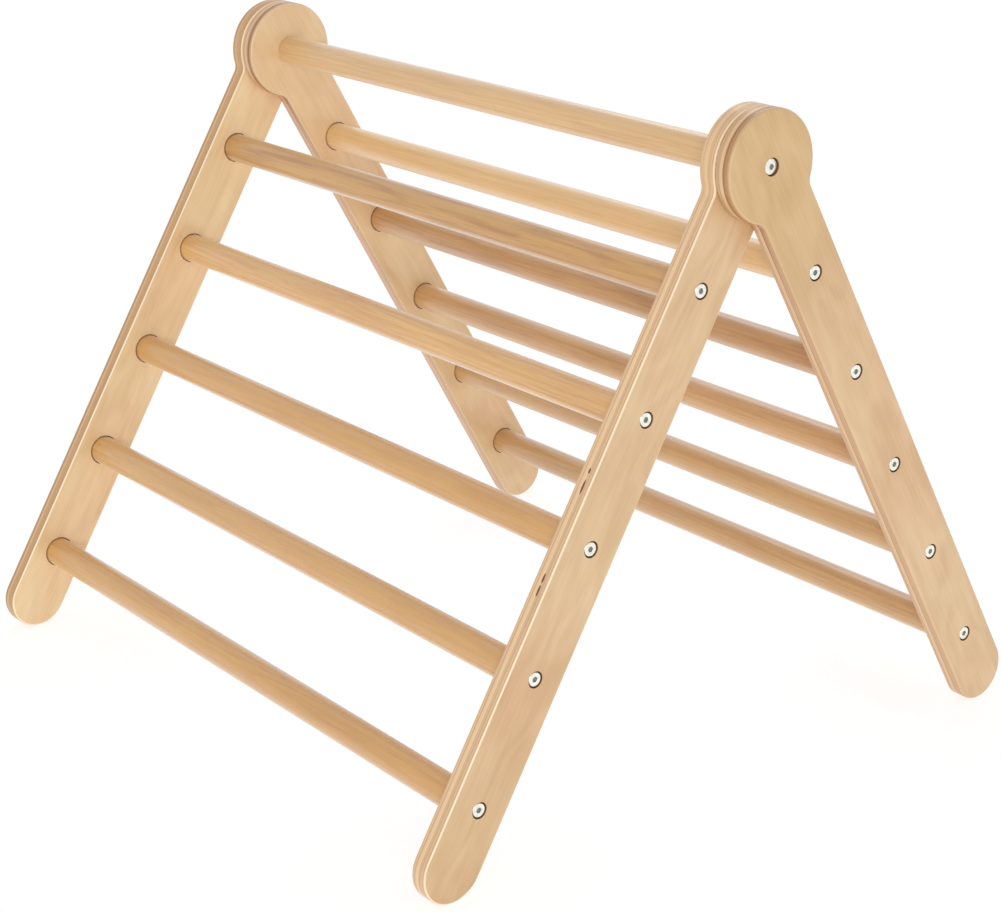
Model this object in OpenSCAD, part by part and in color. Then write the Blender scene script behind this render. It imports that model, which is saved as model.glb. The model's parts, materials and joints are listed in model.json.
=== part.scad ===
// Folding climbing triangle: two ladder frames of plywood rails and round rungs, which overlap at
// their round heads like scissors and turn about the top rung.
// Millimetres. X runs along the rungs, the front frame leans to -Y, the back frame to +Y and Z is up.
// The origin is on the floor, under the middle of the open triangle. Right is the +X end.

/* [Frames] */
// Angle between the two frames when the triangle stands open
open_angle = 60.5; // [45:0.5:75]
// Clear length of a frame's rungs, between the inner faces of its two rails
rung_clear = 715; // [400:5:1000]
// Distance from the pivot to the first rung, and from each rung to the next
rung_pitch = 120; // [105:1:160]
// Number of rungs in each frame, below the top rung
rung_count = 5; // [3:1:6]
// Diameter of the rungs
rung_d = 30; // [26:1:36]

/* [Rails] */
// Width of a rail's straight part
rail_w = 63; // [50:1:75]
// Thickness of the plywood
rail_t = 18; // [16:1:22]
// Diameter of a rail's round head
head_d = 102; // [96:1:125]
// Distance from the last rung to the centre of the rounded foot
foot_reach = 55; // [40:1:90]
// Radius of the rounding along all the long edges
arris_r = 2.5; // [1:0.5:4]
// Radius of the hollow where the straight part runs into the head
neck_r = 15; // [6:1:25]
// Gap between the two heads at each end, which the head washer fills
head_gap = 1; // [0.8:0.1:2]

/* [Rung sockets] */
// Depth of the blind socket that a rung's end sits in
socket_depth = 5; // [3:0.5:6]
// Gap round a rung in its socket
socket_gap = 1; // [0.2:0.1:1]
// Chamfer on a rung's ends
rung_chamfer = 1; // [0.5:0.25:2]

/* [Rung screws] */
// Diameter of a rung screw's shank
screw_d = 8; // [6:0.5:8]
// Length of a rung screw under its head
screw_length = 40; // [30:1:60]
// Diameter of a rung screw's head
screw_head_d = 13; // [11:0.5:14]
// Height of a rung screw's head
screw_head_h = 5; // [4:0.5:6]
// Width across the flats of a rung screw's hexagon socket
screw_hex = 5; // [4:0.5:6]
// Outer diameter of the threaded insert in a rung's end
insert_d = 12; // [10.5:0.5:14]
// Length of the threaded insert
insert_length = 20; // [12:1:25]

/* [Pivots] */
// Diameter of a pivot screw's shank
pivot_screw_d = 8; // [6:0.5:8]
// Length of a pivot screw under its head
pivot_screw_length = 65; // [55:1:80]
// Diameter of a pivot screw's head
pivot_head_d = 14; // [13:0.5:16]
// Height of a pivot screw's domed head
pivot_head_h = 4.4; // [3.5:0.1:5]
// Height of the straight rim of its head, under the dome
pivot_rim_h = 3.5; // [2.5:0.1:4]
// Width across the flats of a pivot screw's hexagon socket
pivot_hex = 5; // [4:0.5:6]
// Outer diameter of the bush that both heads turn on
bush_d = 12; // [11:0.5:13]
// Outer diameter of the washer between the heads
washer_d = 40; // [24:1:50]

/* [Stops] */
// Diameter of the stop pin in each front head
stop_pin_d = 6; // [4:0.5:8]
// Distance from the pivot to the stop pin
stop_pin_reach = 36; // [32:0.5:40]
// Depth to which the stop pin is driven into the front head
stop_pin_seat = 10; // [6:1:12]
// Depth of the curved groove that the stop pin runs in
stop_groove_depth = 7; // [5:0.5:9]

/* [Clearances] */
// Gap left between a rung and the other frame's rail when the triangle is folded
fold_gap = 0.5; // [0.3:0.1:3]
// Depth of a screw head's top below the face of its rail
head_sink = 0.8; // [0.4:0.1:1.5]
// Gap round a rung screw's head in its recess
recess_gap = 1.25; // [0.5:0.05:1.5]
// Gap round a pivot screw's head in its recess
pivot_recess_gap = 1.25; // [0.5:0.05:1.5]
// Gap round a screw's shank
shank_gap = 0.25; // [0.1:0.05:0.4]
// Gap round a bush in the heads that turn on it
turning_gap = 0.08; // [0.05:0.01:0.1]
// Gap between faces that slide past each other
sliding_gap = 0.1; // [0.05:0.01:0.2]
// Gap round an insert or a pin that is pressed into wood
press_gap = 0.02; // [0.01:0.01:0.05]
// Gap beside the stop pin in its groove
groove_gap = 0.4; // [0.2:0.05:0.8]
// Gap between the stop pin's end and the floor of its groove
groove_floor_gap = 0.5; // [0.3:0.1:1]
// Gap between a screw and the thread of its insert
thread_gap = 0.05; // [0.02:0.01:0.1]

/* [Hidden] */
$fn = 96;
hair = 0.01; // how far a cutter runs on past an open face
neck_overlap = 2; // how far the filled neck corner runs into the bar and the head
// A neck corner is a hair hollower, blunter and thinner than the bar and the head, so that its
// surfaces cross theirs cleanly instead of touching.
neck_bite = 0.1;
neck_arris_r = arris_r + neck_bite;
neck_sink = 0.05;
tip_room = 3; // how far a screw's hole goes on past its tip

// The two frames: rails lean by half of the open angle, and the pivot is high enough for the feet
// to touch the floor.
half_angle = open_angle / 2;
foot_s = rung_count * rung_pitch + foot_reach;
foot_r = rail_w / 2;
head_r = head_d / 2;
pivot_z = foot_s * cos(half_angle) + foot_r;
FRONT = -half_angle;
BACK = half_angle;
RIGHT = 1;
LEFT = -1;

// Across an end of the triangle, depths are measured inwards from its outer side. The outer layer
// is the back rail on the right and the front rail on the left.
outer_layer = 0;
inner_layer = rail_t + head_gap;
overall_w = rung_clear + 2 * rail_t + inner_layer;
top_rung_depth = inner_layer + rail_t + sliding_gap;

// Screw recesses, and where the screws and the bush end
recess_depth = head_sink + screw_head_h;
pivot_recess_depth = head_sink + pivot_head_h + sliding_gap;
pivot_seat_depth = pivot_recess_depth - sliding_gap;
screw_pilot_depth = recess_depth + screw_length - rail_t + socket_depth + tip_room;
pivot_pilot_depth = pivot_seat_depth + pivot_screw_length - top_rung_depth + tip_room;
hex_depth = 3;

// The rung and the rail that it meets on folding set the folded angle, and the groove is cut so
// that the stop pin reaches its ends at the open and at the folded angle.
folded_angle = asin((rail_w / 2 + rung_d / 2 + fold_gap) / rung_pitch);
fold_travel = open_angle - folded_angle;
groove_r = stop_pin_d / 2 + groove_gap;
groove_bite = 0.05; // how much narrower the groove is than its round ends, so that they cross cleanly
stop_gap = 0.05;
groove_slack = (groove_gap - stop_gap) / stop_pin_reach * 180 / PI;
stop_pin_out = stop_groove_depth - groove_floor_gap;

birch = [0.87, 0.74, 0.56];
beech = [0.80, 0.61, 0.41];
nickel = [0.86, 0.86, 0.84];
steel = [0.62, 0.63, 0.65];
brass = [0.78, 0.66, 0.38];
nylon = [0.93, 0.92, 0.88];

function rung_names(frame) = [for (i = [1:rung_count]) str(frame, "_rung_", i)];

// ---- Places ----

// Puts a frame's own upright drawing, with the pivot at its origin, in its leaning place.
module leaning(lean) {
    translate([0, 0, pivot_z]) rotate([lean, 0, 0]) children();
}

// Puts a side view, with the pivot at its origin and the rail running down -Y, at one end of a
// frame. Its z is the depth inwards from the triangle's outer side.
module at_end(end, lean) {
    leaning(lean)
        mirror([end == LEFT ? 1 : 0, 0, 0])
            translate([overall_w / 2, 0, 0])
                rotate([90, 0, -90])
                    children();
}

module at_each_rung() {
    for (i = [1:rung_count]) {
        translate([0, -i * rung_pitch, 0]) children();
    }
}

// The stop pin sits straight above the pivot on the line of the front rail, which the back frame
// sees turned by the open angle less the angle that it has been folded by.
function stop_pin_turn(lean, turned = 0) = lean - FRONT - turned;
function stop_pin_place(turned) =
    stop_pin_reach * [-sin(stop_pin_turn(BACK, turned)), cos(stop_pin_turn(BACK, turned))];

module at_stop_pin(lean, turned = 0) {
    rotate([0, 0, stop_pin_turn(lean, turned)]) translate([0, stop_pin_reach, 0]) children();
}

// ---- Rails ----

// Half of a plate's cross-section, from its middle out to its rounded edge
module edge_profile(reach, round_r = arris_r, sink = 0) {
    translate([0, sink]) square([reach - round_r, rail_t - 2 * sink]);
    translate([0, sink + round_r]) square([reach, rail_t - 2 * (sink + round_r)]);
    for (h = [sink + round_r, rail_t - sink - round_r]) {
        translate([reach - round_r, h]) circle(round_r);
    }
}

module rail_head() {
    rotate_extrude() edge_profile(head_r);
}

module rail_bar() {
    rotate([90, 0, 0]) linear_extrude(foot_s) {
        edge_profile(foot_r);
        mirror([1, 0, 0]) edge_profile(foot_r);
    }
}

module rail_foot() {
    translate([0, -foot_s, 0]) rotate([0, 0, 180]) rotate_extrude(angle = 180) edge_profile(foot_r);
}

// The hollow corner between the bar and the head, swept about the centre of its rounding
module neck_hollow() {
    across = foot_r + neck_r - neck_bite;
    along = sqrt(pow(head_r + neck_r - neck_bite, 2) - pow(across, 2));
    head_side = atan2(along, -across);
    reach = neck_arris_r + neck_overlap;
    translate([across, -along, 0])
        rotate([0, 0, head_side])
            rotate_extrude(angle = 180 - head_side)
                translate([neck_r + reach, 0])
                    mirror([1, 0, 0])
                        edge_profile(reach, neck_arris_r, neck_sink);
}

// A plain rail with rounded edges, in the side view, from z = 0 to its thickness
module rail_blank() {
    rail_head();
    rail_bar();
    rail_foot();
    neck_hollow();
    mirror([1, 0, 0]) neck_hollow();
}

// What every rail loses at each rung: the socket in its inner face, the recess in its outer face
// and the shank hole between them
module rung_fixing_cuts() {
    translate([0, 0, rail_t - socket_depth])
        cylinder(d = rung_d + 2 * socket_gap, h = socket_depth + hair);
    translate([0, 0, -hair])
        cylinder(d = screw_head_d + 2 * recess_gap, h = recess_depth + hair);
    cylinder(d = screw_d + 2 * shank_gap, h = rail_t);
}

module bush_hole() {
    translate([0, 0, -hair]) cylinder(d = bush_d + 2 * turning_gap, h = rail_t + 2 * hair);
}

// The recess for a pivot screw's head, in the face of an outer head
module pivot_recess() {
    translate([0, 0, -hair])
        cylinder(d = pivot_head_d + 2 * pivot_recess_gap, h = pivot_recess_depth + hair);
}

// The blind hole for a stop pin in a front head, from the face at z = 0
module stop_pin_hole() {
    translate([0, 0, -hair])
        at_stop_pin(FRONT)
            cylinder(d = stop_pin_d + 2 * press_gap, h = stop_pin_seat + hair);
}

// The outline of the curved groove in a back head. The stop pin is against one of its round ends
// when the triangle is open, and against the other when it is folded.
module stop_groove_outline() {
    first = groove_slack;
    last = fold_travel - groove_slack;
    for (turned = [first, last]) {
        at_stop_pin(BACK, turned) circle(groove_r);
    }
    intersection() {
        difference() {
            circle(stop_pin_reach + groove_r - groove_bite);
            circle(stop_pin_reach - groove_r + groove_bite);
        }
        polygon([[0, 0], for (turned = [first, (first + last) / 2, last]) 2 * stop_pin_place(turned)]);
    }
}

// The groove itself, cut from the face at z = 0
module stop_groove() {
    translate([0, 0, -hair]) linear_extrude(stop_groove_depth + hair) stop_groove_outline();
}

// Turns what is drawn from the outer face of a rail to its inner face
module from_inner_face() {
    translate([0, 0, rail_t]) mirror([0, 0, 1]) children();
}

// A rail in the outer layer has the pivot recess, and its inner face looks at the other head. A
// rail in the inner layer has no recess, and its outer face looks at the other head.
module rail(end, lean, layer) {
    color(birch)
        at_end(end, lean)
            translate([0, 0, layer])
                difference() {
                    rail_blank();
                    at_each_rung() rung_fixing_cuts();
                    bush_hole();
                    if (layer == outer_layer) {
                        pivot_recess();
                        from_inner_face() stop_cut(lean);
                    } else {
                        stop_cut(lean);
                    }
                }
}

module stop_cut(lean) {
    if (lean == FRONT) {
        stop_pin_hole();
    } else {
        stop_groove();
    }
}

// ---- Rungs ----

// A rung from one depth at the left end to another at the right, with chamfered ends and a hole in
// each for its insert and the tip of the screw
module rung_rod(left_depth, right_depth, shank_d, pilot_depth) {
    length = overall_w - left_depth - right_depth;
    difference() {
        translate([left_depth - overall_w / 2, 0, 0]) rotate([0, 90, 0]) {
            translate([0, 0, rung_chamfer]) cylinder(d = rung_d, h = length - 2 * rung_chamfer);
            cylinder(d1 = rung_d - 2 * rung_chamfer, d2 = rung_d, h = rung_chamfer);
            translate([0, 0, length - rung_chamfer])
                cylinder(d1 = rung_d, d2 = rung_d - 2 * rung_chamfer, h = rung_chamfer);
        }
        translate([left_depth - overall_w / 2, 0, 0])
            rotate([0, 90, 0])
                insert_hole(shank_d, pilot_depth);
        translate([overall_w / 2 - right_depth, 0, 0])
            rotate([0, -90, 0])
                insert_hole(shank_d, pilot_depth);
    }
}

module insert_hole(shank_d, pilot_depth) {
    translate([0, 0, -hair]) cylinder(d = insert_d + 2 * press_gap, h = insert_length + hair);
    cylinder(d = shank_d + 2 * shank_gap, h = pilot_depth);
}

// Depths of the socket floors, which a frame's rungs stand on
outer_socket = outer_layer + rail_t - socket_depth;
inner_socket = inner_layer + rail_t - socket_depth;

module frame_rung(lean, i) {
    left_depth = lean == FRONT ? outer_socket : inner_socket;
    right_depth = lean == FRONT ? inner_socket : outer_socket;
    color(beech)
        leaning(lean)
            translate([0, 0, -i * rung_pitch])
                rung_rod(left_depth, right_depth, screw_d, screw_pilot_depth);
}

module top_rung() {
    color(beech)
        leaning(FRONT)
            rung_rod(top_rung_depth, top_rung_depth, pivot_screw_d, pivot_pilot_depth);
}

// ---- Fasteners ----

// A hexagon socket of the given width across its flats, from the face at z = 0
module hex_socket(across_flats) {
    translate([0, 0, -hair])
        rotate([0, 0, 30])
            cylinder(r = across_flats / 2 / cos(30), h = hex_depth + hair, $fn = 6);
}

// A screw with a low cylindrical head, its top at z = 0 and its edge eased
module rung_screw() {
    ease = 0.4;
    difference() {
        union() {
            cylinder(d1 = screw_head_d - 2 * ease, d2 = screw_head_d, h = ease);
            translate([0, 0, ease]) cylinder(d = screw_head_d, h = screw_head_h - ease);
            translate([0, 0, screw_head_h]) cylinder(d = screw_d, h = screw_length);
        }
        hex_socket(screw_hex);
    }
}

module rail_screws(end, lean, layer) {
    color(nickel)
        at_end(end, lean)
            translate([0, 0, layer + head_sink])
                at_each_rung() rung_screw();
}

// A pivot screw's head is a shallow dome: a cylinder under a slice of a sphere.
module pivot_screw(end) {
    dome_h = pivot_head_h - pivot_rim_h;
    dome_r = (pow(pivot_head_d / 2, 2) + pow(dome_h, 2)) / (2 * dome_h);
    color(nickel)
        at_end(end, FRONT)
            translate([0, 0, head_sink])
                difference() {
                    union() {
                        intersection() {
                            translate([0, 0, dome_r]) sphere(dome_r);
                            cylinder(d = pivot_head_d, h = pivot_head_h);
                        }
                        translate([0, 0, pivot_head_h])
                            cylinder(d = pivot_screw_d, h = pivot_screw_length);
                    }
                    hex_socket(pivot_hex);
                }
}

// A threaded sleeve with its mouth at z = 0
module insert(bore_d) {
    difference() {
        cylinder(d = insert_d, h = insert_length);
        translate([0, 0, -hair])
            cylinder(d = bore_d + 2 * thread_gap, h = insert_length + 2 * hair);
    }
}

module rail_inserts(end, lean, layer) {
    color(brass)
        at_end(end, lean)
            translate([0, 0, layer + rail_t - socket_depth])
                at_each_rung() insert(screw_d);
}

module pivot_insert(end) {
    color(brass) at_end(end, FRONT) translate([0, 0, top_rung_depth]) insert(pivot_screw_d);
}

// ---- Turning parts ----

// The bush runs from the pivot screw's head to the end of the top rung, so the screw can be done
// up tight while the heads still turn.
module pivot_bush(end) {
    color(steel)
        at_end(end, FRONT)
            translate([0, 0, pivot_seat_depth])
                difference() {
                    cylinder(d = bush_d, h = top_rung_depth - pivot_seat_depth);
                    translate([0, 0, -hair])
                        cylinder(
                            d = pivot_screw_d + 2 * shank_gap,
                            h = top_rung_depth - pivot_seat_depth + 2 * hair
                        );
                }
}

module head_washer(end) {
    color(nylon)
        at_end(end, FRONT)
            translate([0, 0, rail_t + sliding_gap])
                difference() {
                    cylinder(d = washer_d, h = head_gap - 2 * sliding_gap);
                    translate([0, 0, -hair])
                        cylinder(d = bush_d + 2 * turning_gap, h = head_gap);
                }
}

// The stop pin stands in the front head and reaches across the gap into the back head's groove:
// outwards at the right end, where the front head is the inner one, and inwards at the left.
module stop_pin(end) {
    pin_length = stop_pin_seat + head_gap + stop_pin_out;
    pin_depth = end == RIGHT ? rail_t - stop_pin_out : rail_t - stop_pin_seat;
    color(steel)
        at_end(end, FRONT)
            translate([0, 0, pin_depth])
                at_stop_pin(FRONT)
                    cylinder(d = stop_pin_d, h = pin_length);
}

// ---- Nodes ----

rail(RIGHT, FRONT, inner_layer);  // front_rail_right
rail(LEFT, FRONT, outer_layer);  // front_rail_left
rail(RIGHT, BACK, outer_layer);  // back_rail_right
rail(LEFT, BACK, inner_layer);  // back_rail_left

for (i = [1:rung_count]) {
    frame_rung(FRONT, i);
    frame_rung(BACK, i);
}
top_rung();

rail_screws(RIGHT, FRONT, inner_layer);  // front_screws_right
rail_screws(LEFT, FRONT, outer_layer);  // front_screws_left
rail_screws(RIGHT, BACK, outer_layer);  // back_screws_right
rail_screws(LEFT, BACK, inner_layer);  // back_screws_left

rail_inserts(RIGHT, FRONT, inner_layer);  // front_inserts_right
rail_inserts(LEFT, FRONT, outer_layer);  // front_inserts_left
rail_inserts(RIGHT, BACK, outer_layer);  // back_inserts_right
rail_inserts(LEFT, BACK, inner_layer);  // back_inserts_left

pivot_screw(RIGHT);  // pivot_screw_right
pivot_screw(LEFT);  // pivot_screw_left
pivot_insert(RIGHT);  // pivot_insert_right
pivot_insert(LEFT);  // pivot_insert_left
pivot_bush(RIGHT);  // pivot_bush_right
pivot_bush(LEFT);  // pivot_bush_left
head_washer(RIGHT);  // head_washer_right
head_washer(LEFT);  // head_washer_left
stop_pin(RIGHT);  // stop_pin_right
stop_pin(LEFT);  // stop_pin_left
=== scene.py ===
# %% [markdown]
# # A folding climbing triangle
#
# Two ladder frames of plywood rails and round rungs lean against each other and turn about the top
# rung. Their shapes come ready from the CAD model, right down to the rounded edges and the sunk
# screws. What is left to make is what the eye reads as wood and metal: the layers in the plywood's
# edges, the figure of its face veneer, the long grain of the rungs, the turned heads of the screws,
# and the studio round it all.

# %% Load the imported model
import json
import math

import bpy
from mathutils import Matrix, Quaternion
from mathutils import Vector


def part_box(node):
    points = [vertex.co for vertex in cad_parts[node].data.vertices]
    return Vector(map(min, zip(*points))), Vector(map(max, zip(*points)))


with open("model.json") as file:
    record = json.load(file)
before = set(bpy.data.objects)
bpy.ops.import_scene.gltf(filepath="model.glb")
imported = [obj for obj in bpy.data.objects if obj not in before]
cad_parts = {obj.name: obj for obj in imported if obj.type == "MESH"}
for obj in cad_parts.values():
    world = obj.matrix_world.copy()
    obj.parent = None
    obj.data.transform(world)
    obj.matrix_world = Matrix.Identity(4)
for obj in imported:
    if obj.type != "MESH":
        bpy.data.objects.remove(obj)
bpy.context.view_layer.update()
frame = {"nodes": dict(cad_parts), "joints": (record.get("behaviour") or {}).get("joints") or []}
bpy.ops.object.select_all(action="DESELECT")

# %% [markdown]
# ## The camera
#
# The camera could be placed by eye, but the screws, the heads and the feet sit at known places, so
# it was solved from where they show in the photograph. The lens comes from the same sum, in pixels
# of the picture, and is turned into millimetres on the sensor. The picture's middle isn't on the
# lens's axis, which a small shift makes up for in part.

# %% Camera
PHOTO_WIDTH = 1001
FOCAL_PIXELS = 2274.0
AXIS_ABOVE_MIDDLE = 100
SENSOR = 36.0
PLACE = Vector((1.7125, -1.3738, 1.0243))
AZIMUTH = 50.956
ELEVATION = 17.481
ROLL = 0.272


def back_of_view(azimuth, elevation):
    """The direction from the object back to the camera, for angles in degrees."""
    turn = math.radians(azimuth)
    rise = math.radians(elevation)
    level = math.cos(rise)
    return Vector((math.sin(turn) * level, -math.cos(turn) * level, math.sin(rise)))


lens = bpy.data.cameras.new("camera")
lens.sensor_width = SENSOR
lens.lens = FOCAL_PIXELS / PHOTO_WIDTH * SENSOR
lens.shift_y = -AXIS_ABOVE_MIDDLE / PHOTO_WIDTH
camera = bpy.data.objects.new("camera", lens)
bpy.context.scene.collection.objects.link(camera)
bpy.context.scene.camera = camera

back = back_of_view(AZIMUTH, ELEVATION)
camera.location = PLACE
camera.rotation_mode = "QUATERNION"
upright = back.to_track_quat("Z", "Y")
camera.rotation_quaternion = upright @ Quaternion((0, 0, 1), math.radians(ROLL))
print(f"lens {lens.lens:.1f} mm at {[round(v, 3) for v in camera.location]}")

# %% [markdown]
# ## Tools for the finishes
#
# A finish is a small network of nodes. Adding each node by hand takes four or five lines, so a few
# helpers do it, and the finishes below then read like a recipe: noise, levels, mix. The first one
# adds any node. It takes plain values and other nodes' outputs alike, and links only the outputs.

# %% Any node
def add(tree, kind, inputs=None, **settings):
    """Adds a shader node. Each input is a plain value or another node's output."""
    made = tree.nodes.new("ShaderNode" + kind)
    for name, value in settings.items():
        setattr(made, name, value)
    for name, value in (inputs or {}).items():
        if isinstance(value, bpy.types.NodeSocket):
            tree.links.new(value, made.inputs[name])
        else:
            made.inputs[name].default_value = value
    return made


# %% [markdown]
# Wood is all stretched noise. Noise is equally lumpy each way, so the coordinates are multiplied
# first: a big number along an axis makes the lumps short there. A factor is therefore the number of
# lumps in a metre. Levels then picks out the part of the noise that matters, with soft ends.

# %% Numbers and patterns
def calc(tree, operation, a, b=0.0):
    """One sum on two numbers."""
    made = add(tree, "Math", {0: a, 1: b}, operation=operation)
    return made.outputs[0]


def scaled(tree, vector, along_x, along_y, along_z):
    """A vector with each axis multiplied by its own number."""
    factors = (along_x, along_y, along_z)
    made = add(tree, "VectorMath", {0: vector, 1: factors}, operation="MULTIPLY")
    return made.outputs[0]


def part_of(tree, vector, axis):
    """One axis of a vector: 0 for x, 1 for y, 2 for z."""
    return add(tree, "SeparateXYZ", {0: vector}).outputs[axis]


def noise(tree, vector, detail=3.0, distortion=0.0):
    """Soft noise from 0 to 1, one lump for each unit of the vector."""
    inputs = {"Vector": vector, "Scale": 1.0, "Detail": detail, "Distortion": distortion}
    return add(tree, "TexNoise", inputs).outputs[0]


def levels(tree, value, low, high, to_low=0.0, to_high=1.0):
    """Brings low and high to new values with a soft start and end, and stops there."""
    inputs = {
        "Value": value,
        "From Min": low,
        "From Max": high,
        "To Min": to_low,
        "To Max": to_high,
    }
    made = add(tree, "MapRange", inputs, interpolation_type="SMOOTHSTEP")
    return made.outputs[0]


# %% [markdown]
# Colours are written as they look on screen, from 0 to 255, because that is how one reads them off
# a picture. The nodes work in linear light, so each is converted once, when it is named.

# %% Colours
def rgb(red, green, blue):
    """A colour given as it looks on screen, as the nodes want it."""
    made = []
    for level in (red, green, blue):
        share = level / 255
        made.append(share / 12.92 if share <= 0.04045 else ((share + 0.055) / 1.055) ** 2.4)
    return (*made, 1.0)


def mix(tree, factor, a, b):
    """Colour a where the factor is 0 and b where it is 1."""
    made = add(tree, "Mix", data_type="RGBA")
    for place, value in ((0, factor), (6, a), (7, b)):
        if isinstance(value, bpy.types.NodeSocket):
            tree.links.new(value, made.inputs[place])
        else:
            made.inputs[place].default_value = value
    return made.outputs[2]


def brightened(tree, colour, factor):
    """A colour multiplied by a number."""
    made = add(tree, "VectorMath", {0: colour, "Scale": factor}, operation="SCALE")
    return made.outputs[0]


# %% [markdown]
# A finish starts from Blender's main shader. What is the same all over, such as the lacquer, is set
# straight on the shader. What varies is linked to it, and the CAD nodes then wear the finish in
# place of the plain one that they came with.

# %% A finish
def finish_of(name, **settings):
    """A new material, its tree, and its main shader with the given plain settings."""
    material = bpy.data.materials.new(name)
    material.use_nodes = True
    tree = material.node_tree
    shader = tree.nodes["Principled BSDF"]
    for setting, value in settings.items():
        shader.inputs[setting.replace("_", " ").title()].default_value = value
    return material, tree, shader


def relief(tree, shader, height, depth):
    """Lets a height from 0 to 1 stand up from the surface by a depth in metres."""
    bump = add(tree, "Bump", {"Height": height, "Distance": depth, "Strength": 1.0})
    tree.links.new(bump.outputs[0], shader.inputs["Normal"])


def give(material, *nodes):
    """Puts a finish on CAD nodes."""
    for node in nodes:
        slots = frame["nodes"][node].data.materials
        slots.clear()
        slots.append(material)
    print(f"{material.name}: {', '.join(nodes)}")


# %% [markdown]
# ## Birch plywood
#
# A rail is cut from one sheet of plywood: thin layers of birch, glued with their grain crossed. The
# flat sides show the outer layer, whose grain runs along the rail in pale, wavy figure. The edges
# show every layer in turn. Where a layer's grain runs into the edge it shows end grain, which soaks
# up more lacquer and is darker, and where it runs along the edge it stays pale.
#
# The edges could be painted with stripes, but the stripes would have to swap over round the head
# and the foot. So the finish is built as the sheet is: the depth in the sheet says which layer a
# point is in, and the way the surface faces says whether that layer is cut across or along. One
# finish is right for the sides, the edges, the rounded arrises and the insides of the holes.

# %% Values for the plywood
SHEET = 0.018
LAYERS = 13
LAYER = SHEET / LAYERS
HALF_ANGLE = 30.25
PIVOT = Vector(frame["joints"][0]["pos_m"])
RUNG_STEP = 0.120
WIDEST_HOLE_RADIUS = 0.0165
print(f"{LAYERS} layers of {LAYER * 1000:.2f} mm")


# %% Where a point is in its rail
def turned_with_the_rail(tree, vector, lean, **centre):
    """A vector as a rail sees it that leans by an angle in degrees."""
    inputs = {"Vector": vector, "Rotation": (math.radians(lean), 0, 0), **centre}
    return add(tree, "Mapping", inputs, vector_type="TEXTURE").outputs[0]


def place_in_the_rail(tree, node, lean):
    """Coordinates with x from the middle of the node and z along the rail, from the pivot."""
    low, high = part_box(node)
    centre = (((low + high) / 2).x, PIVOT.y, PIVOT.z)
    place = add(tree, "TexCoord").outputs["Object"]
    return turned_with_the_rail(tree, place, lean, Location=centre)


# %% [markdown]
# The layers are counted from the middle of the sheet: even ones run along the rail and odd ones
# across it. The two halves of the sheet get opposite numbers, so that each layer can have a tone of
# its own. The faces lie exactly where the last layer ends, so the depth stops just short of it.

# %% Layers
JUST_INSIDE = SHEET / 2 - 0.00005
GLUE_STARTS = 0.42


def layer_of(tree, place):
    """1 in a crossed layer and 0 in a long one, 1 on a glue line, and the layer's own number."""
    across = part_of(tree, place, 0)
    depth = calc(tree, "MINIMUM", calc(tree, "ABSOLUTE", across), JUST_INSIDE)
    counted = calc(tree, "ADD", calc(tree, "DIVIDE", depth, LAYER), 0.5)
    number = calc(tree, "FLOOR", counted)
    crossed = calc(tree, "MODULO", number, 2.0)
    to_glue = calc(tree, "ABSOLUTE", calc(tree, "SUBTRACT", calc(tree, "FRACT", counted), 0.5))
    glue = levels(tree, to_glue, GLUE_STARTS, 0.5)
    own_number = calc(tree, "MULTIPLY", number, calc(tree, "SIGN", across))
    return crossed, glue, own_number


# %% [markdown]
# The way the surface faces is 1 on a side of the rail and 0 in its edge, when only the part across
# the sheet is read. The arris, the rounded corner between the two, carries a painted highlight: a
# pale line that stands in for the lamp's reflection. It lies between those values, nearer to the
# side.

# %% Sides, edges and arrises
SIDE_ENDS = 0.97
EDGE_STARTS = 0.6
ARRIS_STARTS = (0.98, 0.92)
ARRIS_ENDS = (0.65, 0.42)


def cut_across(tree, facing, crossed):
    """How much a layer's grain runs into the surface, and how much that is an edge or an arris."""
    parts = add(tree, "SeparateXYZ", {0: facing})
    sideways = calc(tree, "ABSOLUTE", parts.outputs[0])
    if_crossed = calc(tree, "ABSOLUTE", parts.outputs[1])
    if_long = calc(tree, "ABSOLUTE", parts.outputs[2])
    ends = add(tree, "Mix", {0: crossed, 2: if_long, 3: if_crossed}).outputs[0]
    edge = levels(tree, sideways, SIDE_ENDS, EDGE_STARTS)
    off_the_side = levels(tree, sideways, *ARRIS_STARTS)
    off_the_edge = levels(tree, sideways, *ARRIS_ENDS, 1.0, 0.0)
    return ends, edge, calc(tree, "MULTIPLY", off_the_side, off_the_edge)


# %% [markdown]
# The veneer is peeled from the log like paper from a roll, so its figure is wide, wavy and faint.
# Contour lines of a stretched noise look just like it. Finer noise, stretched further, makes the
# fibres and pores, and slow noise makes the patches that shift between yellow and rose.
#
# Each pattern below has its lumps in a metre through the sheet, across the rail and along it, its
# detail, the levels between which it darkens the wood, and how much.

# %% Face veneer
VENEER = rgb(226, 194, 151)
ROSE_VENEER = rgb(224, 183, 141)
LATE_GROWTH = (0.79, 0.70, 0.58)
SLOW_FIGURE = (4, 15, 6.5)
WAVES = 46.0
WAVE_SHARE = 0.2
ROSE_PATCHES = (6, 15, 8)
FACE_PATTERNS = {
    "fibres": ((100, 420, 12), 2.0, 0.4, 0.68, 0.16),
    "streaks": ((30, 120, 9), 3.0, 0.3, 0.75, 0.14),
    "patches": ((8, 24, 13), 2.0, 0.35, 0.7, 0.32),
    "pores": ((300, 1100, 45), 2.0, 0.56, 0.78, 0.2),
}


def darkened_by(tree, place, depth, patterns):
    """Adds patterns to a depth of tone. Gives the new depth, and each pattern by its name."""
    found = {}
    for name, (stretch, detail, low, high, share) in patterns.items():
        found[name] = noise(tree, scaled(tree, place, *stretch), detail)
        depth = calc(tree, "ADD", depth, levels(tree, found[name], low, high, 0.0, share))
    return depth, found


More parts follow.
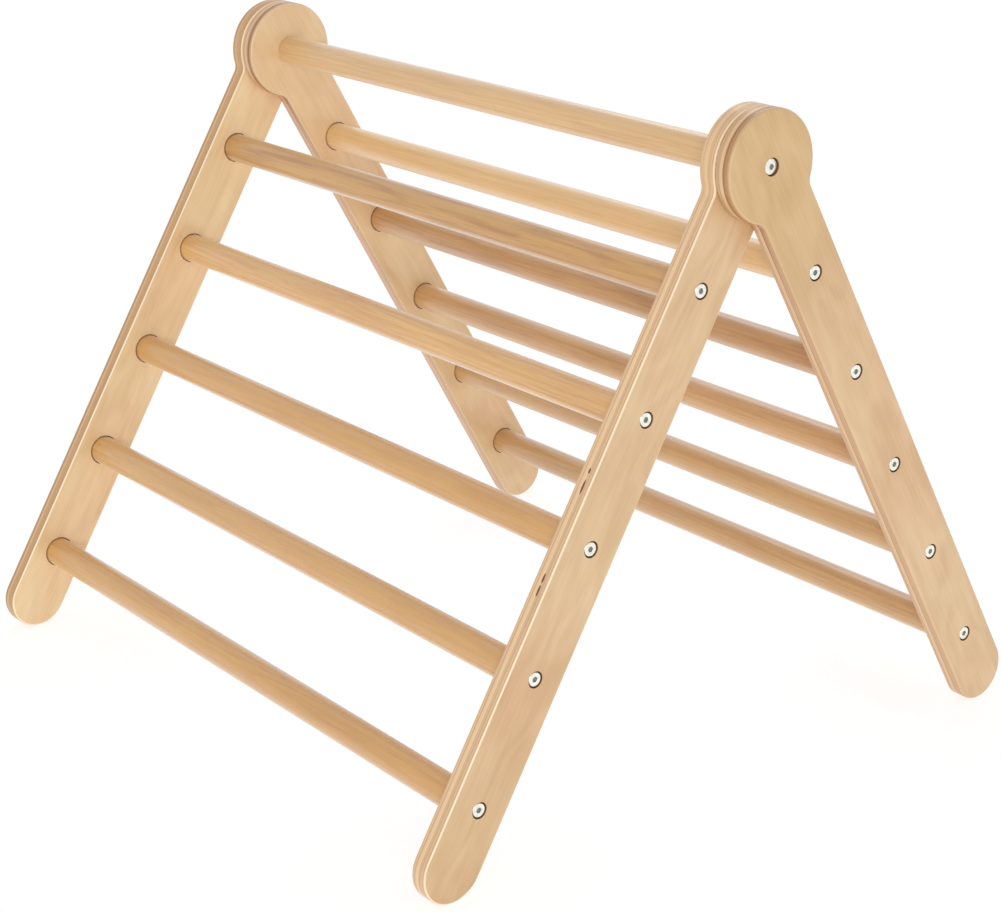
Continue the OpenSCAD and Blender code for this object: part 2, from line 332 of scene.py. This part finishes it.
def veneer(tree, place, down, sheet):
    """The colour of the face layer, and its grain from 0 to 1."""
    start = (sheet["seed"],) * 3
    moved = add(tree, "VectorMath", {0: place, 1: start}, operation="ADD").outputs[0]
    rose = noise(tree, scaled(tree, moved, *ROSE_PATCHES), 1.0)
    early = mix(tree, levels(tree, rose, 0.42, 0.68, 0.0, 0.6), VENEER, ROSE_VENEER)
    for start, end, share, tone in sheet["tones"]:
        early = mix(tree, levels(tree, down, start, end, 0.0, share), early, tone)
    late = scaled(tree, early, *LATE_GROWTH)

    slow = noise(tree, scaled(tree, moved, *SLOW_FIGURE), 2.0)
    waves = calc(tree, "SINE", calc(tree, "MULTIPLY", slow, WAVES))
    figure = levels(tree, waves, -1.0, 1.0, 0.0, WAVE_SHARE)
    depth, found = darkened_by(tree, moved, figure, FACE_PATTERNS)
    colour = mix(tree, depth, early, late)
    grain = calc(tree, "ADD", calc(tree, "MULTIPLY", found["pores"], 0.7), found["streaks"])
    return colour, grain


# %% [markdown]
# In the edges, each layer has its own tone, and the end grain is full of short dark pores. Under
# lacquer all this is soft, so the tones stay close together.

# %% Edges of the sheet
ALONG_GRAIN = rgb(234, 197, 150)
END_GRAIN = rgb(220, 180, 132)
GLUE_LINE = rgb(168, 124, 80)
SHORT_PORES = (1500, 420, 420)
LONG_FIGURE = (500, 60, 13)


def edge_colour(tree, place, ends, glue, number, seed):
    """The colour of an edge, and its pores from 0 to 1."""
    sample = calc(tree, "ADD", number, seed)
    own_tone = add(tree, "TexWhiteNoise", {"W": sample}, noise_dimensions="1D").outputs[0]
    short = noise(tree, scaled(tree, place, *SHORT_PORES), 2.0)
    long = noise(tree, scaled(tree, place, *LONG_FIGURE), 3.0)
    colour = mix(tree, ends, ALONG_GRAIN, END_GRAIN)
    colour = brightened(tree, colour, levels(tree, long, 0.3, 0.75, 1.05, 0.92))
    colour = brightened(tree, colour, levels(tree, own_tone, 0.0, 1.0, 0.93, 1.05))
    colour = mix(tree, levels(tree, short, 0.52, 0.75, 0.0, 0.2), colour, GLUE_LINE)
    colour = mix(tree, calc(tree, "MULTIPLY", glue, 0.15), colour, GLUE_LINE)
    return colour, short


# %% [markdown]
# No two sheets are alike: in the back rails one layer came out brown. The left front rail's edge is
# darker all through, and darkest in its outer third. A sheet also has faults. Here and there an
# inner layer has a gap, which shows in an edge as a slit of painted shade.
#
# The walls of the drilled holes are raw end grain, and their colour is darkened further with
# painted shade. All of them are round an axis on the rail's middle line, and the axes are one rung
# step apart, the pivot's among them. So the distance along the rail is folded back on itself at
# that step, and one ring pattern serves them all.

# %% Bands, slits and holes
BAND_SOFTNESS = LAYER / 4
SLIT_RAGGED = (0, 0, 260)
SLIT_RIM = (1.45, 1.2)


def between(tree, place, low, high):
    """1 where a point lies between two depths in the sheet, and 0 elsewhere."""
    across = part_of(tree, place, 0)
    above = levels(tree, across, low - BAND_SOFTNESS, low + BAND_SOFTNESS)
    below = levels(tree, across, high + BAND_SOFTNESS, high - BAND_SOFTNESS)
    return calc(tree, "MULTIPLY", above, below)


def slit(tree, place, centre, length, width):
    """1 inside a long thin gap in a layer, and 0 outside it."""
    away = add(tree, "VectorMath", {0: place, 1: centre}, operation="SUBTRACT").outputs[0]
    ragged = noise(tree, scaled(tree, place, *SLIT_RAGGED), 2.0)
    shrunk = scaled(tree, away, 2 / width, 0, 2 / length)
    reach = add(tree, "VectorMath", {0: shrunk}, operation="LENGTH").outputs[1]
    ragged_reach = calc(tree, "ADD", reach, calc(tree, "MULTIPLY", ragged, 0.6))
    return levels(tree, ragged_reach, *SLIT_RIM)


def from_axis(tree, place):
    """The distance to the axis of the nearest screw, or of the pivot, on the rail's middle line."""
    parts = add(tree, "SeparateXYZ", {0: place})
    half = RUNG_STEP / 2
    shifted = calc(tree, "ADD", parts.outputs[2], half)
    along = calc(tree, "SUBTRACT", calc(tree, "FLOORED_MODULO", shifted, RUNG_STEP), half)
    flat = add(tree, "CombineXYZ", {"X": parts.outputs[1], "Y": along}).outputs[0]
    return add(tree, "VectorMath", {0: flat}, operation="LENGTH").outputs[1]


# %% [markdown]
# Now the parts come together. The face and the edge are mixed by the way the surface faces. Then
# come the walls of the holes, raw end grain darkened with painted shade, and the painted highlight
# on the arrises, and last a thin satin lacquer, through which the grain can still be felt.

# %% The whole sheet
# Painted shade for the gaps in the layers.
SLIT_PAINTED_SHADE = rgb(118, 58, 8)
# Raw end grain and painted shade for the walls of the holes.
HOLE_WALL_AND_SHADE = rgb(112, 76, 42)
HOLE_WALL_AND_SHADE_SHARE = 0.85
# A painted highlight, laid on the rounded arrises.
PAINTED_ARRIS_HIGHLIGHT = rgb(255, 240, 210)
HEAD_ENDS = 0.03
BANDS_SETTLE = 0.12
FACE_ROUGHNESS = 0.42
END_GRAIN_ROUGHNESS = 0.55
SHEET_RELIEF = 0.00004


def rail_edge(tree, place, down, ends, glue, number, sheet):
    """The colour of a rail's edge with its bands and its holes, whose walls carry painted shade,
    and its pores.
    """
    layered, pores = edge_colour(tree, place, ends, glue, number, sheet["seed"])
    layered = scaled(tree, layered, *sheet["edge"])
    for low, high, at_head, at_foot, tone in sheet["bands"]:
        share = levels(tree, down, HEAD_ENDS, BANDS_SETTLE, at_head, at_foot)
        share = calc(tree, "MULTIPLY", between(tree, place, low, high), share)
        layered = mix(tree, share, layered, tone)
    # The hole walls are raw end grain, darkened further with painted shade.
    in_a_hole = calc(tree, "LESS_THAN", from_axis(tree, place), WIDEST_HOLE_RADIUS)
    layered = mix(tree, calc(tree, "MULTIPLY", in_a_hole, HOLE_WALL_AND_SHADE_SHARE), layered, HOLE_WALL_AND_SHADE)
    return layered, pores


def plywood(node, sheet):
    """The finish of one rail, from what is known of its sheet."""
    lacquer = {"coat_weight": 0.3, "coat_roughness": 0.2}
    material, tree, shader = finish_of(f"plywood_{node}", **lacquer)
    place = place_in_the_rail(tree, node, sheet["lean"])
    normal = add(tree, "TexCoord").outputs["Normal"]
    facing = turned_with_the_rail(tree, normal, sheet["lean"])
    crossed, glue, number = layer_of(tree, place)
    ends, edge, arris = cut_across(tree, facing, crossed)

    down = calc(tree, "MULTIPLY", part_of(tree, place, 2), -1.0)
    face, grain = veneer(tree, place, down, sheet)
    face = scaled(tree, face, *sheet["face"])
    layered, pores = rail_edge(tree, place, down, ends, glue, number, sheet)
    colour = mix(tree, edge, face, layered)
    # Each slit is painted shade: the dark of an open gap, drawn in colour.
    for centre, length, width in sheet["slits"]:
        gap = calc(tree, "MULTIPLY", slit(tree, place, centre, length, width), edge)
        colour = mix(tree, gap, colour, SLIT_PAINTED_SHADE)
    # The painted highlight: a pale line on the arrises where the lamp's reflection falls.
    colour = mix(tree, calc(tree, "MULTIPLY", arris, sheet["painted_arris_highlight"]), colour, PAINTED_ARRIS_HIGHLIGHT)
    tree.links.new(colour, shader.inputs["Base Color"])

    open_grain = calc(tree, "MULTIPLY", ends, edge)
    rough = levels(tree, open_grain, 0.0, 1.0, FACE_ROUGHNESS, END_GRAIN_ROUGHNESS)
    tree.links.new(rough, shader.inputs["Roughness"])
    height = add(tree, "Mix", {0: edge, 2: grain, 3: pores}).outputs[0]
    relief(tree, shader, height, SHEET_RELIEF)
    return material


# %% [markdown]
# Each rail was cut from a sheet of its own, and this is what is known of each:
#
# - its lean, and where its figure starts
# - the tones that its veneer turns to: from and to, in metres down the rail from the pivot, how
#   much, and the tone
# - the tints of its faces and of its edges; on the far rails the face tint is painted light
# - the bands, which are layers that stand out: the depths between which each lies, in metres from
#   the middle of the sheet, how much it shows at the head and at the foot, and its tone
# - how strong the painted highlight on its arrises is
# - its slits, with their middles, lengths and widths

# %% The two near sheets
RIPE_VENEER = rgb(213, 171, 123)
OLIVE_VENEER = rgb(217, 184, 133)
PALE_LAYER = rgb(246, 211, 166)
BROWN_LAYER = rgb(156, 102, 42)
SLIT_DEPTH = 0.0013
SLIT_WIDTH = 0.0023
FRONT_EDGE = -0.0315

slits = []
for down_the_rail, length in ((0.299, 0.005), (0.314, 0.013), (0.398, 0.009), (0.409, 0.010)):
    slits.append((Vector((SLIT_DEPTH, FRONT_EDGE, -down_the_rail)), length, SLIT_WIDTH))

SHEETS = {}
SHEETS["front_rail_right"] = {
    "lean": -HALF_ANGLE,
    "seed": 3.1,
    "tones": ((0.09, 0.0, 0.7, RIPE_VENEER), (0.40, 0.48, 0.35, RIPE_VENEER)),
    "face": (0.99, 0.99, 0.99),
    "edge": (0.97, 0.96, 1.0),
    "bands": (
        (-0.0028, 0.0009, 0.3, 0.65, PALE_LAYER),
        (0.0026, 0.0046, 0.15, 0.12, BROWN_LAYER),
    ),
    "painted_arris_highlight": 0.65,
    "slits": slits,
}
SHEETS["back_rail_right"] = {
    "lean": HALF_ANGLE,
    "seed": 11.7,
    "tones": ((0.31, 0.0, 0.85, RIPE_VENEER), (0.16, 0.06, 0.8, OLIVE_VENEER)),
    "face": (0.99, 0.99, 0.99),
    "edge": (0.82, 0.77, 0.75),
    "bands": (
        (-0.0030, 0.0004, 0.45, 0.35, PALE_LAYER),
        (0.0006, 0.0062, 0.5, 0.15, BROWN_LAYER),
        (0.0008, 0.0030, 0.75, 0.15, BROWN_LAYER),
    ),
    "painted_arris_highlight": 0.05,
    "slits": (),
}

# %% [markdown]
# The far rails' faces are painted lighter, and lighter still below the heads: painted light on
# these inner faces, which lie in the triangle's own shade.

# %% The two far sheets
# A cream for the painted light below the heads.
CREAM_PAINTED_LIGHT = rgb(244, 212, 170)

SHEETS["front_rail_left"] = {
    "lean": -HALF_ANGLE,
    "seed": 7.4,
    "tones": ((0.17, 0.10, 0.5, CREAM_PAINTED_LIGHT),),
    # painted light: this face tint lightens the inner face
    "face": (1.13, 1.2, 1.23),
    # darker all through, and darkest in the outer third below
    "edge": (0.77, 0.66, 0.53),
    "bands": (
        (-0.0090, -0.0042, 0.2, 0.3, BROWN_LAYER),
        (-0.0034, -0.0008, 0.3, 0.4, PALE_LAYER),
    ),
    "painted_arris_highlight": 0.7,
    "slits": (),
}
SHEETS["back_rail_left"] = {
    "lean": HALF_ANGLE,
    "seed": 17.2,
    "tones": ((0.17, 0.10, 0.4, CREAM_PAINTED_LIGHT),),
    # painted light: this face tint lightens the inner face
    "face": (1.04, 1.05, 1.05),
    "edge": (0.8, 0.74, 0.8),
    "bands": (
        (-0.0030, 0.0004, 0.3, 0.2, PALE_LAYER),
        (0.0022, 0.0060, 0.95, 0.05, BROWN_LAYER),
    ),
    "painted_arris_highlight": 0.15,
    "slits": (),
}

# %% Plywood on the rails
for node, sheet in SHEETS.items():
    give(plywood(node, sheet), node)

# %% [markdown]
# ## Rungs
#
# A rung is a turned rod of pale, even hardwood. Its growth rings are nearly flat planes, because
# the tree was far wider than the rod, and where they pass through the round surface they leave
# long lines, close together on two sides and wide apart between them. Rings about a distant centre,
# read in all three dimensions, do the same. Each rung lies at another place in that pattern, so no
# two look alike.
#
# The lacquer is thin, and the fibres of a turned rod stand up through it a little. A faint sheen
# stands in for them and pales the wood where it curves out of sight.

# %% Values for the rungs
RING = 0.0031
RING_DRIFT = 0.022
RING_SHARE = 0.3
HEART = (0.0, 0.62, -0.45)
ROD_PALE = rgb(220, 177, 119)
ROD_DEEP = rgb(190, 141, 86)
ROD_ROSE = rgb(211, 162, 107)
ROD_FLECK = rgb(160, 110, 62)
ROD_FLAME = rgb(158, 100, 50)
ROD_RELIEF = 0.00005
ROD_DRIFT = (2.2, 9, 9)
ROD_FLECKS = (320, 1500, 1500)
ROD_FLAMES = (9, 150, 150)
ROD_TONES = (0.6, 7, 7)
ROD_PATTERNS = {
    "fibres": ((26, 700, 700), 3.0, 0.35, 0.75, 0.35),
    "patches": ((5, 30, 30), 2.0, 0.35, 0.7, 0.3),
}


# %% Rung wood
def growth_rings(tree, place):
    """From 0 in the early wood of a year to 1 in its late wood, for rings that wander a little."""
    drift = noise(tree, scaled(tree, place, *ROD_DRIFT), 2.0)
    from_heart = add(tree, "VectorMath", {0: place, 1: HEART}, operation="SUBTRACT").outputs[0]
    flat = scaled(tree, from_heart, 0, 1, 1)
    distance = add(tree, "VectorMath", {0: flat}, operation="LENGTH").outputs[1]
    wandering = calc(tree, "ADD", distance, calc(tree, "MULTIPLY", drift, RING_DRIFT))
    ring = calc(tree, "FRACT", calc(tree, "DIVIDE", wandering, RING))
    return levels(tree, ring, 0.35, 1.0)


def rod_wood(node, tint, flame):
    """The finish of one rung."""
    lacquer = {"coat_weight": 1.0, "coat_roughness": 0.25}
    fuzz = {"sheen_weight": 0.25, "sheen_roughness": 0.45}
    material, tree, shader = finish_of(f"wood_{node}", **lacquer, **fuzz)
    place = add(tree, "TexCoord").outputs["Object"]
    flecks = noise(tree, scaled(tree, place, *ROD_FLECKS), 1.0)
    flames = noise(tree, scaled(tree, place, *ROD_FLAMES), 4.0, 0.4)
    own_tone = noise(tree, scaled(tree, place, *ROD_TONES), 1.0)

    rings = calc(tree, "MULTIPLY", growth_rings(tree, place), RING_SHARE)
    depth, found = darkened_by(tree, place, rings, ROD_PATTERNS)
    colour = mix(tree, depth, ROD_PALE, ROD_DEEP)
    colour = mix(tree, levels(tree, own_tone, 0.4, 0.65, 0.0, 0.6), colour, ROD_ROSE)
    colour = mix(tree, levels(tree, flecks, 0.66, 0.8, 0.0, 0.4), colour, ROD_FLECK)
    colour = mix(tree, levels(tree, flames, 0.42, 0.68, 0.0, flame), colour, ROD_FLAME)
    colour = scaled(tree, colour, *tint)
    tree.links.new(colour, shader.inputs["Base Color"])
    tree.links.new(levels(tree, found["fibres"], 0.3, 0.8, 0.4, 0.52), shader.inputs["Roughness"])
    relief(tree, shader, calc(tree, "ADD", found["fibres"], flecks), ROD_RELIEF)
    return material


# %% [markdown]
# The rods come from different boards: some are lighter, some are yellower, and one has a strong
# figure of dark flames. So each rung gets a tint, for red, green and blue, and a strength of flame.

# %% Wood on the rungs
RODS = {
    "top_rung": ((1.12, 1.19, 1.21), 0.1),
    "front_rung_1": ((0.92, 0.84, 0.51), 0.5),
    "front_rung_2": ((1.13, 1.07, 0.88), 0.15),
    "front_rung_3": ((1.01, 0.92, 0.58), 0.15),
    "front_rung_4": ((1.03, 0.97, 0.69), 0.1),
    "front_rung_5": ((1.0, 0.89, 0.57), 0.1),
    "back_rung_1": ((1.25, 1.42, 1.54), 0.0),
    "back_rung_2": ((0.84, 0.75, 0.63), 0.35),
    "back_rung_3": ((0.96, 0.9, 0.82), 0.2),
    "back_rung_4": ((0.93, 0.93, 0.85), 0.2),
    "back_rung_5": ((0.89, 0.85, 0.79), 0.1),
}
for node, (tint, flame) in RODS.items():
    give(rod_wood(node, tint, flame), node)

# %% [markdown]
# ## Screws
#
# The screws are turned steel with a bright nickel coat. The cutter leaves rings round the middle of
# a head, too fine to see singly, that spread the light. They are drawn by the distance to a screw's
# own axis, folded along the rail as for the holes. The hexagon socket is dull inside.

# %% Values for the screws
TURNING_MARK = 0.00022
TURNING_RELIEF = 0.000004
HEX_DEEP = 0.0006
SOCKET_REACH = 0.0031
SOCKET_DULLNESS = 0.4
SMUDGES = 350
NICKEL = rgb(250, 248, 238)
NICKEL_SHADE = rgb(226, 223, 212)
SOCKET_GREY = rgb(190, 194, 190)


# %% Nickel
def in_the_socket(tree, node, place, radius):
    """1 in the hexagon sockets of a rail's screws, and 0 outside them."""
    low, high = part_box(node)
    half_length = (high.x - low.x) / 2
    across = part_of(tree, place, 0)
    depth = calc(tree, "SUBTRACT", half_length, calc(tree, "ABSOLUTE", across))
    near_axis = calc(tree, "LESS_THAN", radius, SOCKET_REACH)
    return calc(tree, "MULTIPLY", levels(tree, depth, HEX_DEEP / 3, HEX_DEEP), near_axis)


def nickel(node, lean):
    """The finish of the screws of one rail, or of a pivot screw."""
    material, tree, shader = finish_of(f"nickel_{node}", metallic=1.0)
    place = place_in_the_rail(tree, node, lean)
    radius = from_axis(tree, place)
    marks = calc(tree, "SINE", calc(tree, "MULTIPLY", radius, 2 * math.pi / TURNING_MARK))
    smudge = noise(tree, scaled(tree, place, SMUDGES, SMUDGES, SMUDGES), 3.0)
    socket = in_the_socket(tree, node, place, radius)

    colour = mix(tree, levels(tree, smudge, 0.35, 0.75), NICKEL, NICKEL_SHADE)
    colour = mix(tree, socket, colour, SOCKET_GREY)
    tree.links.new(colour, shader.inputs["Base Color"])
    dulled = calc(tree, "MULTIPLY", socket, SOCKET_DULLNESS)
    rough = calc(tree, "ADD", levels(tree, smudge, 0.3, 0.8, 0.26, 0.38), dulled)
    tree.links.new(rough, shader.inputs["Roughness"])
    relief(tree, shader, marks, TURNING_RELIEF)
    return material


for side in ("right", "left"):
    for row, lean in (("front_screws", -HALF_ANGLE), ("back_screws", HALF_ANGLE)):
        give(nickel(f"{row}_{side}", lean), f"{row}_{side}")
    give(nickel(f"pivot_screw_{side}", -HALF_ANGLE), f"pivot_screw_{side}")

# %% [markdown]
# ## Hidden hardware
#
# Inserts, bushes, stop pins and washers show only when the triangle is taken apart. They still get
# their real finishes: turned brass and steel with fine marks round the part, and milky nylon.

# %% Turned metal
LATHE_MARKS = (4200, 90, 90)
TARNISH = (180, 180, 180)
LATHE_RELIEF = 0.00001
BRASS = (rgb(214, 184, 112), rgb(176, 144, 82))
STEEL = (rgb(186, 188, 192), rgb(142, 144, 148))


def turned_metal(name, bright, dull, roughness):
    """Metal from a lathe, with marks that run round the X axis."""
    material, tree, shader = finish_of(name, metallic=1.0)
    place = add(tree, "TexCoord").outputs["Object"]
    marks = noise(tree, scaled(tree, place, *LATHE_MARKS), 2.0)
    tarnish = noise(tree, scaled(tree, place, *TARNISH), 4.0)
    colour = mix(tree, levels(tree, tarnish, 0.35, 0.72), bright, dull)
    tree.links.new(colour, shader.inputs["Base Color"])
    rough = levels(tree, marks, 0.3, 0.7, roughness, roughness + 0.15)
    tree.links.new(rough, shader.inputs["Roughness"])
    relief(tree, shader, marks, LATHE_RELIEF)
    return material


inserts = sorted(node for node in frame["nodes"] if "insert" in node)
steel_parts = sorted(node for node in frame["nodes"] if "bush" in node or "stop_pin" in node)
give(turned_metal("turned_brass", *BRASS, 0.28), *inserts)
give(turned_metal("turned_steel", *STEEL, 0.3), *steel_parts)

# %% Nylon
NYLON = rgb(240, 237, 226)
NYLON_SHADE = rgb(226, 221, 206)
NYLON_CLOUDS = (120, 120, 120)
MOULD_SPARKS = (2500, 2500, 2500)


def milky_nylon(name):
    """Moulded plastic that lets a little light in."""
    material, tree, shader = finish_of(name, subsurface_weight=0.15, subsurface_scale=0.002)
    place = add(tree, "TexCoord").outputs["Object"]
    clouds = noise(tree, scaled(tree, place, *NYLON_CLOUDS), 3.0)
    sparks = noise(tree, scaled(tree, place, *MOULD_SPARKS), 1.0)
    colour = mix(tree, levels(tree, clouds, 0.35, 0.7), NYLON, NYLON_SHADE)
    tree.links.new(colour, shader.inputs["Base Color"])
    tree.links.new(levels(tree, sparks, 0.3, 0.7, 0.38, 0.5), shader.inputs["Roughness"])
    relief(tree, shader, sparks, LATHE_RELIEF)
    return material


washers = sorted(node for node in frame["nodes"] if "washer" in node)
give(milky_nylon("milky_nylon"), *washers)

# %% [markdown]
# ## The studio
#
# The photograph shows the triangle on plain white, with the undersides of the rungs as bright as
# their tops. A white sweep under strong lamps would bleach the wood, so the light from below comes
# from a light table, half plain white and half glowing.
#
# When the triangle folds, the feet of the back frame swing lower than the floor, and a solid floor
# would cut them off. So the light table lies deeper and is hidden from the camera, and the floor is
# drawn only round the four resting feet, where their soft shadow falls. Elsewhere the sky shows,
# which is as white.

# %% White sheets
TABLE_COLOUR = (0.86, 0.86, 0.86, 1.0)
TABLE_SHARE = 0.5
TABLE_GLOW = 1.41
WHITE = (1, 1, 1, 1)


def white_table(name):
    """A material that is half plain white and half glow, with its tree and the two mixed."""
    material = bpy.data.materials.new(name)
    material.use_nodes = True
    tree = material.node_tree
    tree.nodes.clear()
    plain = add(tree, "BsdfDiffuse", {"Color": TABLE_COLOUR}).outputs[0]
    glow = add(tree, "Emission", {"Color": WHITE, "Strength": TABLE_GLOW}).outputs[0]
    both = add(tree, "MixShader", {0: TABLE_SHARE, 1: plain, 2: glow}).outputs[0]
    return material, tree, both


def level_sheet(name, size, height, material):
    """A square sheet that lies flat, as part of the studio."""
    bpy.ops.mesh.primitive_plane_add(size=size, location=(0, 0, height))
    sheet = bpy.context.active_object
    sheet.name = name
    sheet.data.materials.append(material)
    print(f"{name}: {size} m square, {height} m high")
    return sheet


# %% Light table
TABLE_SIZE = 30.0
TABLE_DEPTH = 0.12

table_white, tree, both = white_table("light_table")
add(tree, "OutputMaterial", {"Surface": both})
table = level_sheet("light_table", TABLE_SIZE, -TABLE_DEPTH, table_white)
table.visible_camera = False

# %% [markdown]
# The four feet rest at mirrored places. So the floor's coordinates are folded into one quarter with
# ABSOLUTE, and one distance tells how far a point is from the nearest foot. The floor is there only
# for the eye: the light and the mirrors see the table below it.

# %% Floor at the feet
FLOOR_SIZE = 1.4
RESTING_FOOT = (0.3665, 0.33, 0.0)
FLOOR_SOLID = 0.07
FLOOR_ENDS = 0.2

floor_white, tree, both = white_table("floor_at_the_feet")
place = add(tree, "TexCoord").outputs["Object"]
folded = add(tree, "VectorMath", {0: place}, operation="ABSOLUTE").outputs[0]
to_foot = add(tree, "VectorMath", {0: folded, 1: RESTING_FOOT}, operation="DISTANCE").outputs[1]
shown = levels(tree, to_foot, FLOOR_SOLID, FLOOR_ENDS, 1.0, 0.0)
clear = add(tree, "BsdfTransparent").outputs[0]
faded = add(tree, "MixShader", {0: shown, 1: clear, 2: both}).outputs[0]
add(tree, "OutputMaterial", {"Surface": faded})
floor = level_sheet("floor", FLOOR_SIZE, 0.0, floor_white)
floor.visible_diffuse = False
floor.visible_glossy = False
floor.visible_transmission = False
floor.visible_shadow = False

# %% [markdown]
# The sky gives plain light from all round. A full white would be too much light, so it is full
# white only where the camera sees it, straight, in a mirror or through something clear.

# %% Sky
SKY_LIGHT = 0.67

world = bpy.data.worlds.new("studio")
bpy.context.scene.world = world
world.use_nodes = True
tree = world.node_tree
tree.nodes.clear()
path = add(tree, "LightPath")
seen = calc(tree, "MAXIMUM", path.outputs["Is Camera Ray"], path.outputs["Is Glossy Ray"])
seen = calc(tree, "MAXIMUM", seen, path.outputs["Is Transmission Ray"])
strength = levels(tree, seen, 0.0, 1.0, SKY_LIGHT, 1.0)
sky = add(tree, "Background", {"Color": WHITE, "Strength": strength}).outputs[0]
add(tree, "OutputWorld", {"Surface": sky})
print(f"sky of {SKY_LIGHT}, white where it is seen")

# %% [markdown]
# A soft box stands far out beside the camera, so that the near and the far rails get the same light
# from it. It lights the sides, and the rounded edges of the rails throw it straight back as a thin
# bright line, which the plywood finish strengthens with a painted highlight. A weak one behind and
# above draws a pale rim along the tops of the rungs.

# %% Lamps
MIDDLE = Vector((0, 0, 0.3))


def soft_box(name, place, size, power):
    """A square lamp that faces the middle of the triangle."""
    lamp = bpy.data.lights.new(name, "AREA")
    lamp.shape = "SQUARE"
    lamp.size = size
    lamp.energy = power
    holder = bpy.data.objects.new(name, lamp)
    bpy.context.scene.collection.objects.link(holder)
    holder.location = place
    holder.rotation_mode = "QUATERNION"
    holder.rotation_quaternion = (Vector(place) - MIDDLE).to_track_quat("Z", "Y")
    print(f"{name}: {power} W at {place}")


soft_box("beside_the_camera", place=(7.0, -5.8, 2.5), size=1.8, power=200)
soft_box("behind", place=(-1.2, 1.4, 2.2), size=1.2, power=7)
bpy.context.scene.view_settings.view_transform = "Standard"
